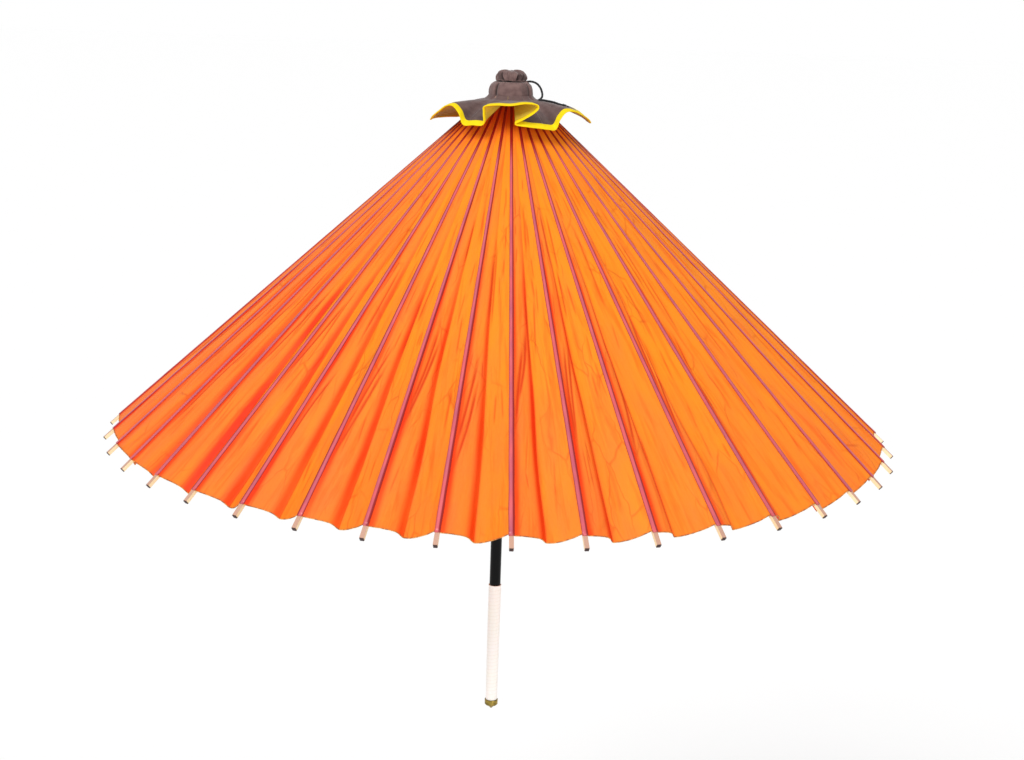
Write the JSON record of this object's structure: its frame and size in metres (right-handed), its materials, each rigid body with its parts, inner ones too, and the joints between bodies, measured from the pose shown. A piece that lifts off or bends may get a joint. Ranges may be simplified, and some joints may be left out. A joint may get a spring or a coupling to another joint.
{
  "type": "oil paper umbrella",
  "caption": "Open oil paper umbrella: folding bamboo ribs on a sliding runner, orange oiled paper, tied cloth hood, black shaft, wrapped grip and brass ferrule.",
  "frame": {"origin": "middle of the hand grip, on the shaft's axis", "axes": "+Z along the shaft from the ferrule to the hood; -Y is the side that the picture shows"},
  "size_m": [0.924, 0.924, 0.778],
  "materials": {
    "shaft_lacquer": "black gloss lacquer over bamboo",
    "grip_wrap": "fine pale rattan winding, satin",
    "ferrule_brass": "aged satin brass",
    "hub_wood": "turned wood, oiled",
    "hub_thread": "waxed thread",
    "rib_bamboo": "split bamboo, oiled, with a mauve-brown lacquered back",
    "short_rib_bamboo": "split bamboo, oiled",
    "catch_bamboo": "dark split bamboo",
    "canopy_paper": "oiled washi, orange, satin and slightly translucent",
    "hood_cloth": "brown cloth with a yellow lining",
    "hood_binding": "bright yellow bias binding",
    "hood_cord": "black twisted cord"
  },
  "bodies": {
    "root": {"shaft": "shaft_lacquer", "grip_wrap": "grip_wrap", "ferrule": "ferrule_brass", "head_hub": "hub_wood", "hub_thread": "hub_thread", "canopy": "canopy_paper", "hood": "hood_cloth", "hood_tie": "hood_cord", "hood_cord": "hood_cord"},
    "runner": {"runner": "hub_wood", "runner_thread": "hub_thread"},
    "catch": {"catch": "catch_bamboo"},
    "long_rib_01": {"long_rib_01": "rib_bamboo"},
    "long_rib_02": {"long_rib_02": "rib_bamboo"},
    "long_rib_03": {"long_rib_03": "rib_bamboo"},
    "long_rib_04": {"long_rib_04": "rib_bamboo"},
    "long_rib_05": {"long_rib_05": "rib_bamboo"},
    "long_rib_06": {"long_rib_06": "rib_bamboo"},
    "long_rib_07": {"long_rib_07": "rib_bamboo"},
    "long_rib_08": {"long_rib_08": "rib_bamboo"},
    "long_rib_09": {"long_rib_09": "rib_bamboo"},
    "long_rib_10": {"long_rib_10": "rib_bamboo"},
    "long_rib_11": {"long_rib_11": "rib_bamboo"},
    "long_rib_12": {"long_rib_12": "rib_bamboo"},
    "long_rib_13": {"long_rib_13": "rib_bamboo"},
    "long_rib_14": {"long_rib_14": "rib_bamboo"},
    "long_rib_15": {"long_rib_15": "rib_bamboo"},
    "long_rib_16": {"long_rib_16": "rib_bamboo"},
    "long_rib_17": {"long_rib_17": "rib_bamboo"},
    "long_rib_18": {"long_rib_18": "rib_bamboo"},
    "long_rib_19": {"long_rib_19": "rib_bamboo"},
    "long_rib_20": {"long_rib_20": "rib_bamboo"},
    "long_rib_21": {"long_rib_21": "rib_bamboo"},
    "long_rib_22": {"long_rib_22": "rib_bamboo"},
    "long_rib_23": {"long_rib_23": "rib_bamboo"},
    "long_rib_24": {"long_rib_24": "rib_bamboo"},
    "long_rib_25": {"long_rib_25": "rib_bamboo"},
    "long_rib_26": {"long_rib_26": "rib_bamboo"},
    "long_rib_27": {"long_rib_27": "rib_bamboo"},
    "long_rib_28": {"long_rib_28": "rib_bamboo"},
    "long_rib_29": {"long_rib_29": "rib_bamboo"},
    "long_rib_30": {"long_rib_30": "rib_bamboo"},
    "long_rib_31": {"long_rib_31": "rib_bamboo"},
    "long_rib_32": {"long_rib_32": "rib_bamboo"},
    "long_rib_33": {"long_rib_33": "rib_bamboo"},
    "long_rib_34": {"long_rib_34": "rib_bamboo"},
    "long_rib_35": {"long_rib_35": "rib_bamboo"},
    "long_rib_36": {"long_rib_36": "rib_bamboo"},
    "long_rib_37": {"long_rib_37": "rib_bamboo"},
    "long_rib_38": {"long_rib_38": "rib_bamboo"},
    "long_rib_39": {"long_rib_39": "rib_bamboo"},
    "long_rib_40": {"long_rib_40": "rib_bamboo"},
    "short_rib_01": {"short_rib_01": "short_rib_bamboo"},
    "short_rib_06": {"short_rib_06": "short_rib_bamboo"},
    "short_rib_11": {"short_rib_11": "short_rib_bamboo"},
    "short_rib_16": {"short_rib_16": "short_rib_bamboo"},
    "short_rib_21": {"short_rib_21": "short_rib_bamboo"},
    "short_rib_26": {"short_rib_26": "short_rib_bamboo"},
    "short_rib_31": {"short_rib_31": "short_rib_bamboo"},
    "short_rib_36": {"short_rib_36": "short_rib_bamboo"}
  },
  "joints": [
    {"name": "runner_slide", "type": "slide", "parent": "root", "child": "runner", "axis": [0, 0, 1], "range_m": [-0.1638, 0], "deforming": ["canopy", "hood", "runner_thread", "catch"]},
    {"name": "long_rib_01_hinge", "type": "hinge", "parent": "root", "child": "long_rib_01", "pos_m": [0.0005, -0.01799, 0.6645], "axis": [0.9996, 0.0279, 0], "range_deg": [0, 45.8]},
    {"name": "long_rib_02_hinge", "type": "hinge", "parent": "root", "child": "long_rib_02", "pos_m": [0.00331, -0.01769, 0.6645], "axis": [0.9829, 0.184, 0], "range_deg": [0, 45.8]},
    {"name": "long_rib_03_hinge", "type": "hinge", "parent": "root", "child": "long_rib_03", "pos_m": [0.00604, -0.01696, 0.6645], "axis": [0.9421, 0.3355, 0], "range_deg": [0, 45.8]},
    {"name": "long_rib_04_hinge", "type": "hinge", "parent": "root", "child": "long_rib_04", "pos_m": [0.00862, -0.0158, 0.6645], "axis": [0.878, 0.4787, 0], "range_deg": [0, 45.8]},
    {"name": "long_rib_05_hinge", "type": "hinge", "parent": "root", "child": "long_rib_05", "pos_m": [0.01098, -0.01426, 0.6645], "axis": [0.7923, 0.6101, 0], "range_deg": [0, 45.8]},
    {"name": "long_rib_06_hinge", "type": "hinge", "parent": "root", "child": "long_rib_06", "pos_m": [0.01308, -0.01237, 0.6645], "axis": [0.6871, 0.7266, 0], "range_deg": [0, 45.8]},
    {"name": "long_rib_07_hinge", "type": "hinge", "parent": "root", "child": "long_rib_07", "pos_m": [0.01485, -0.01017, 0.6645], "axis": [0.565, 0.8251, 0], "range_deg": [0, 45.8]},
    {"name": "long_rib_08_hinge", "type": "hinge", "parent": "root", "child": "long_rib_08", "pos_m": [0.01626, -0.00772, 0.6645], "axis": [0.4289, 0.9033, 0], "range_deg": [0, 45.8]},
    {"name": "long_rib_09_hinge", "type": "hinge", "parent": "root", "child": "long_rib_09", "pos_m": [0.01727, -0.00508, 0.6645], "axis": [0.2823, 0.9593, 0], "range_deg": [0, 45.8]},
    {"name": "long_rib_10_hinge", "type": "hinge", "parent": "root", "child": "long_rib_10", "pos_m": [0.01785, -0.00232, 0.6645], "axis": [0.1288, 0.9917, 0], "range_deg": [0, 45.8]},
    {"name": "long_rib_11_hinge", "type": "hinge", "parent": "root", "child": "long_rib_11", "pos_m": [0.01799, 0.0005, 0.6645], "axis": [-0.0279, 0.9996, 0], "range_deg": [0, 45.8]},
    {"name": "long_rib_12_hinge", "type": "hinge", "parent": "root", "child": "long_rib_12", "pos_m": [0.01769, 0.00331, 0.6645], "axis": [-0.184, 0.9829, 0], "range_deg": [0, 45.8]},
    {"name": "long_rib_13_hinge", "type": "hinge", "parent": "root", "child": "long_rib_13", "pos_m": [0.01696, 0.00604, 0.6645], "axis": [-0.3355, 0.9421, 0], "range_deg": [0, 45.8]},
    {"name": "long_rib_14_hinge", "type": "hinge", "parent": "root", "child": "long_rib_14", "pos_m": [0.0158, 0.00862, 0.6645], "axis": [-0.4787, 0.878, 0], "range_deg": [0, 45.8]},
    {"name": "long_rib_15_hinge", "type": "hinge", "parent": "root", "child": "long_rib_15", "pos_m": [0.01426, 0.01098, 0.6645], "axis": [-0.6101, 0.7923, 0], "range_deg": [0, 45.8]},
    {"name": "long_rib_16_hinge", "type": "hinge", "parent": "root", "child": "long_rib_16", "pos_m": [0.01237, 0.01308, 0.6645], "axis": [-0.7266, 0.6871, 0], "range_deg": [0, 45.8]},
    {"name": "long_rib_17_hinge", "type": "hinge", "parent": "root", "child": "long_rib_17", "pos_m": [0.01017, 0.01485, 0.6645], "axis": [-0.8251, 0.565, 0], "range_deg": [0, 45.8]},
    {"name": "long_rib_18_hinge", "type": "hinge", "parent": "root", "child": "long_rib_18", "pos_m": [0.00772, 0.01626, 0.6645], "axis": [-0.9033, 0.4289, 0], "range_deg": [0, 45.8]},
    {"name": "long_rib_19_hinge", "type": "hinge", "parent": "root", "child": "long_rib_19", "pos_m": [0.00508, 0.01727, 0.6645], "axis": [-0.9593, 0.2823, 0], "range_deg": [0, 45.8]},
    {"name": "long_rib_20_hinge", "type": "hinge", "parent": "root", "child": "long_rib_20", "pos_m": [0.00232, 0.01785, 0.6645], "axis": [-0.9917, 0.1288, 0], "range_deg": [0, 45.8]},
    {"name": "long_rib_21_hinge", "type": "hinge", "parent": "root", "child": "long_rib_21", "pos_m": [-0.0005, 0.01799, 0.6645], "axis": [-0.9996, -0.0279, 0], "range_deg": [0, 45.8]},
    {"name": "long_rib_22_hinge", "type": "hinge", "parent": "root", "child": "long_rib_22", "pos_m": [-0.00331, 0.01769, 0.6645], "axis": [-0.9829, -0.184, 0], "range_deg": [0, 45.8]},
    {"name": "long_rib_23_hinge", "type": "hinge", "parent": "root", "child": "long_rib_23", "pos_m": [-0.00604, 0.01696, 0.6645], "axis": [-0.9421, -0.3355, 0], "range_deg": [0, 45.8]},
    {"name": "long_rib_24_hinge", "type": "hinge", "parent": "root", "child": "long_rib_24", "pos_m": [-0.00862, 0.0158, 0.6645], "axis": [-0.878, -0.4787, 0], "range_deg": [0, 45.8]},
    {"name": "long_rib_25_hinge", "type": "hinge", "parent": "root", "child": "long_rib_25", "pos_m": [-0.01098, 0.01426, 0.6645], "axis": [-0.7923, -0.6101, 0], "range_deg": [0, 45.8]},
    {"name": "long_rib_26_hinge", "type": "hinge", "parent": "root", "child": "long_rib_26", "pos_m": [-0.01308, 0.01237, 0.6645], "axis": [-0.6871, -0.7266, 0], "range_deg": [0, 45.8]},
    {"name": "long_rib_27_hinge", "type": "hinge", "parent": "root", "child": "long_rib_27", "pos_m": [-0.01485, 0.01017, 0.6645], "axis": [-0.565, -0.8251, 0], "range_deg": [0, 45.8]},
    {"name": "long_rib_28_hinge", "type": "hinge", "parent": "root", "child": "long_rib_28", "pos_m": [-0.01626, 0.00772, 0.6645], "axis": [-0.4289, -0.9033, 0], "range_deg": [0, 45.8]},
    {"name": "long_rib_29_hinge", "type": "hinge", "parent": "root", "child": "long_rib_29", "pos_m": [-0.01727, 0.00508, 0.6645], "axis": [-0.2823, -0.9593, 0], "range_deg": [0, 45.8]},
    {"name": "long_rib_30_hinge", "type": "hinge", "parent": "root", "child": "long_rib_30", "pos_m": [-0.01785, 0.00232, 0.6645], "axis": [-0.1288, -0.9917, 0], "range_deg": [0, 45.8]},
    {"name": "long_rib_31_hinge", "type": "hinge", "parent": "root", "child": "long_rib_31", "pos_m": [-0.01799, -0.0005, 0.6645], "axis": [0.0279, -0.9996, 0], "range_deg": [0, 45.8]},
    {"name": "long_rib_32_hinge", "type": "hinge", "parent": "root", "child": "long_rib_32", "pos_m": [-0.01769, -0.00331, 0.6645], "axis": [0.184, -0.9829, 0], "range_deg": [0, 45.8]},
    {"name": "long_rib_33_hinge", "type": "hinge", "parent": "root", "child": "long_rib_33", "pos_m": [-0.01696, -0.00604, 0.6645], "axis": [0.3355, -0.9421, 0], "range_deg": [0, 45.8]},
    {"name": "long_rib_34_hinge", "type": "hinge", "parent": "root", "child": "long_rib_34", "pos_m": [-0.0158, -0.00862, 0.6645], "axis": [0.4787, -0.878, 0], "range_deg": [0, 45.8]},
    {"name": "long_rib_35_hinge", "type": "hinge", "parent": "root", "child": "long_rib_35", "pos_m": [-0.01426, -0.01098, 0.6645], "axis": [0.6101, -0.7923, 0], "range_deg": [0, 45.8]},
    {"name": "long_rib_36_hinge", "type": "hinge", "parent": "root", "child": "long_rib_36", "pos_m": [-0.01237, -0.01308, 0.6645], "axis": [0.7266, -0.6871, 0], "range_deg": [0, 45.8]},
    {"name": "long_rib_37_hinge", "type": "hinge", "parent": "root", "child": "long_rib_37", "pos_m": [-0.01017, -0.01485, 0.6645], "axis": [0.8251, -0.565, 0], "range_deg": [0, 45.8]},
    {"name": "long_rib_38_hinge", "type": "hinge", "parent": "root", "child": "long_rib_38", "pos_m": [-0.00772, -0.01626, 0.6645], "axis": [0.9033, -0.4289, 0], "range_deg": [0, 45.8]},
    {"name": "long_rib_39_hinge", "type": "hinge", "parent": "root", "child": "long_rib_39", "pos_m": [-0.00508, -0.01727, 0.6645], "axis": [0.9593, -0.2823, 0], "range_deg": [0, 45.8]},
    {"name": "long_rib_40_hinge", "type": "hinge", "parent": "root", "child": "long_rib_40", "pos_m": [-0.00232, -0.01785, 0.6645], "axis": [0.9917, -0.1288, 0], "range_deg": [0, 45.8]},
    {"name": "short_rib_01_hinge", "type": "hinge", "parent": "long_rib_01", "child": "short_rib_01", "pos_m": [0.00567, -0.20312, 0.49657], "axis": [0.9996, 0.0279, 0], "range_deg": [-91.6, 0]},
    {"name": "short_rib_06_hinge", "type": "hinge", "parent": "long_rib_06", "child": "short_rib_06", "pos_m": [0.14764, -0.13962, 0.49657], "axis": [0.6871, 0.7266, 0], "range_deg": [-91.6, 0]},
    {"name": "short_rib_11_hinge", "type": "hinge", "parent": "long_rib_11", "child": "short_rib_11", "pos_m": [0.20312, 0.00567, 0.49657], "axis": [-0.0279, 0.9996, 0], "range_deg": [-91.6, 0]},
    {"name": "short_rib_16_hinge", "type": "hinge", "parent": "long_rib_16", "child": "short_rib_16", "pos_m": [0.13962, 0.14764, 0.49657], "axis": [-0.7266, 0.6871, 0], "range_deg": [-91.6, 0]},
    {"name": "short_rib_21_hinge", "type": "hinge", "parent": "long_rib_21", "child": "short_rib_21", "pos_m": [-0.00567, 0.20312, 0.49657], "axis": [-0.9996, -0.0279, 0], "range_deg": [-91.6, 0]},
    {"name": "short_rib_26_hinge", "type": "hinge", "parent": "long_rib_26", "child": "short_rib_26", "pos_m": [-0.14764, 0.13962, 0.49657], "axis": [-0.6871, -0.7266, 0], "range_deg": [-91.6, 0]},
    {"name": "short_rib_31_hinge", "type": "hinge", "parent": "long_rib_31", "child": "short_rib_31", "pos_m": [-0.20312, -0.00567, 0.49657], "axis": [0.0279, -0.9996, 0], "range_deg": [-91.6, 0]},
    {"name": "short_rib_36_hinge", "type": "hinge", "parent": "long_rib_36", "child": "short_rib_36", "pos_m": [-0.13962, -0.14764, 0.49657], "axis": [0.7266, -0.6871, 0], "range_deg": [-91.6, 0]},
    {"name": "catch_press", "type": "hinge", "parent": "root", "child": "catch", "pos_m": [0.00006, -0.002, 0.25834], "axis": [-0.9996, -0.0279, 0], "range_deg": [0, 5.5], "stiffness_Nm_per_rad": 0.1, "springref_deg": -5.73}
  ],
  "couplings": [
    {"joint": "long_rib_01_hinge", "follows": "runner_slide", "rad_per_m": -4.8791},
    {"joint": "long_rib_02_hinge", "follows": "runner_slide", "rad_per_m": -4.8791},
    {"joint": "long_rib_03_hinge", "follows": "runner_slide", "rad_per_m": -4.8791},
    {"joint": "long_rib_04_hinge", "follows": "runner_slide", "rad_per_m": -4.8791},
    {"joint": "long_rib_05_hinge", "follows": "runner_slide", "rad_per_m": -4.8791},
    {"joint": "long_rib_06_hinge", "follows": "runner_slide", "rad_per_m": -4.8791},
    {"joint": "long_rib_07_hinge", "follows": "runner_slide", "rad_per_m": -4.8791},
    {"joint": "long_rib_08_hinge", "follows": "runner_slide", "rad_per_m": -4.8791},
    {"joint": "long_rib_09_hinge", "follows": "runner_slide", "rad_per_m": -4.8791},
    {"joint": "long_rib_10_hinge", "follows": "runner_slide", "rad_per_m": -4.8791},
    {"joint": "long_rib_11_hinge", "follows": "runner_slide", "rad_per_m": -4.8791},
    {"joint": "long_rib_12_hinge", "follows": "runner_slide", "rad_per_m": -4.8791},
    {"joint": "long_rib_13_hinge", "follows": "runner_slide", "rad_per_m": -4.8791},
    {"joint": "long_rib_14_hinge", "follows": "runner_slide", "rad_per_m": -4.8791},
    {"joint": "long_rib_15_hinge", "follows": "runner_slide", "rad_per_m": -4.8791},
    {"joint": "long_rib_16_hinge", "follows": "runner_slide", "rad_per_m": -4.8791},
    {"joint": "long_rib_17_hinge", "follows": "runner_slide", "rad_per_m": -4.8791},
    {"joint": "long_rib_18_hinge", "follows": "runner_slide", "rad_per_m": -4.8791},
    {"joint": "long_rib_19_hinge", "follows": "runner_slide", "rad_per_m": -4.8791},
    {"joint": "long_rib_20_hinge", "follows": "runner_slide", "rad_per_m": -4.8791},
    {"joint": "long_rib_21_hinge", "follows": "runner_slide", "rad_per_m": -4.8791},
    {"joint": "long_rib_22_hinge", "follows": "runner_slide", "rad_per_m": -4.8791},
    {"joint": "long_rib_23_hinge", "follows": "runner_slide", "rad_per_m": -4.8791},
    {"joint": "long_rib_24_hinge", "follows": "runner_slide", "rad_per_m": -4.8791},
    {"joint": "long_rib_25_hinge", "follows": "runner_slide", "rad_per_m": -4.8791},
    {"joint": "long_rib_26_hinge", "follows": "runner_slide", "rad_per_m": -4.8791},
    {"joint": "long_rib_27_hinge", "follows": "runner_slide", "rad_per_m": -4.8791},
    {"joint": "long_rib_28_hinge", "follows": "runner_slide", "rad_per_m": -4.8791},
    {"joint": "long_rib_29_hinge", "follows": "runner_slide", "rad_per_m": -4.8791},
    {"joint": "long_rib_30_hinge", "follows": "runner_slide", "rad_per_m": -4.8791},
    {"joint": "long_rib_31_hinge", "follows": "runner_slide", "rad_per_m": -4.8791},
    {"joint": "long_rib_32_hinge", "follows": "runner_slide", "rad_per_m": -4.8791},
    {"joint": "long_rib_33_hinge", "follows": "runner_slide", "rad_per_m": -4.8791},
    {"joint": "long_rib_34_hinge", "follows": "runner_slide", "rad_per_m": -4.8791},
    {"joint": "long_rib_35_hinge", "follows": "runner_slide", "rad_per_m": -4.8791},
    {"joint": "long_rib_36_hinge", "follows": "runner_slide", "rad_per_m": -4.8791},
    {"joint": "long_rib_37_hinge", "follows": "runner_slide", "rad_per_m": -4.8791},
    {"joint": "long_rib_38_hinge", "follows": "runner_slide", "rad_per_m": -4.8791},
    {"joint": "long_rib_39_hinge", "follows": "runner_slide", "rad_per_m": -4.8791},
    {"joint": "long_rib_40_hinge", "follows": "runner_slide", "rad_per_m": -4.8791},
    {"joint": "short_rib_01_hinge", "follows": "runner_slide", "rad_per_m": 9.7581},
    {"joint": "short_rib_06_hinge", "follows": "runner_slide", "rad_per_m": 9.7581},
    {"joint": "short_rib_11_hinge", "follows": "runner_slide", "rad_per_m": 9.7581},
    {"joint": "short_rib_16_hinge", "follows": "runner_slide", "rad_per_m": 9.7581},
    {"joint": "short_rib_21_hinge", "follows": "runner_slide", "rad_per_m": 9.7581},
    {"joint": "short_rib_26_hinge", "follows": "runner_slide", "rad_per_m": 9.7581},
    {"joint": "short_rib_31_hinge", "follows": "runner_slide", "rad_per_m": 9.7581},
    {"joint": "short_rib_36_hinge", "follows": "runner_slide", "rad_per_m": 9.7581}
  ]
}
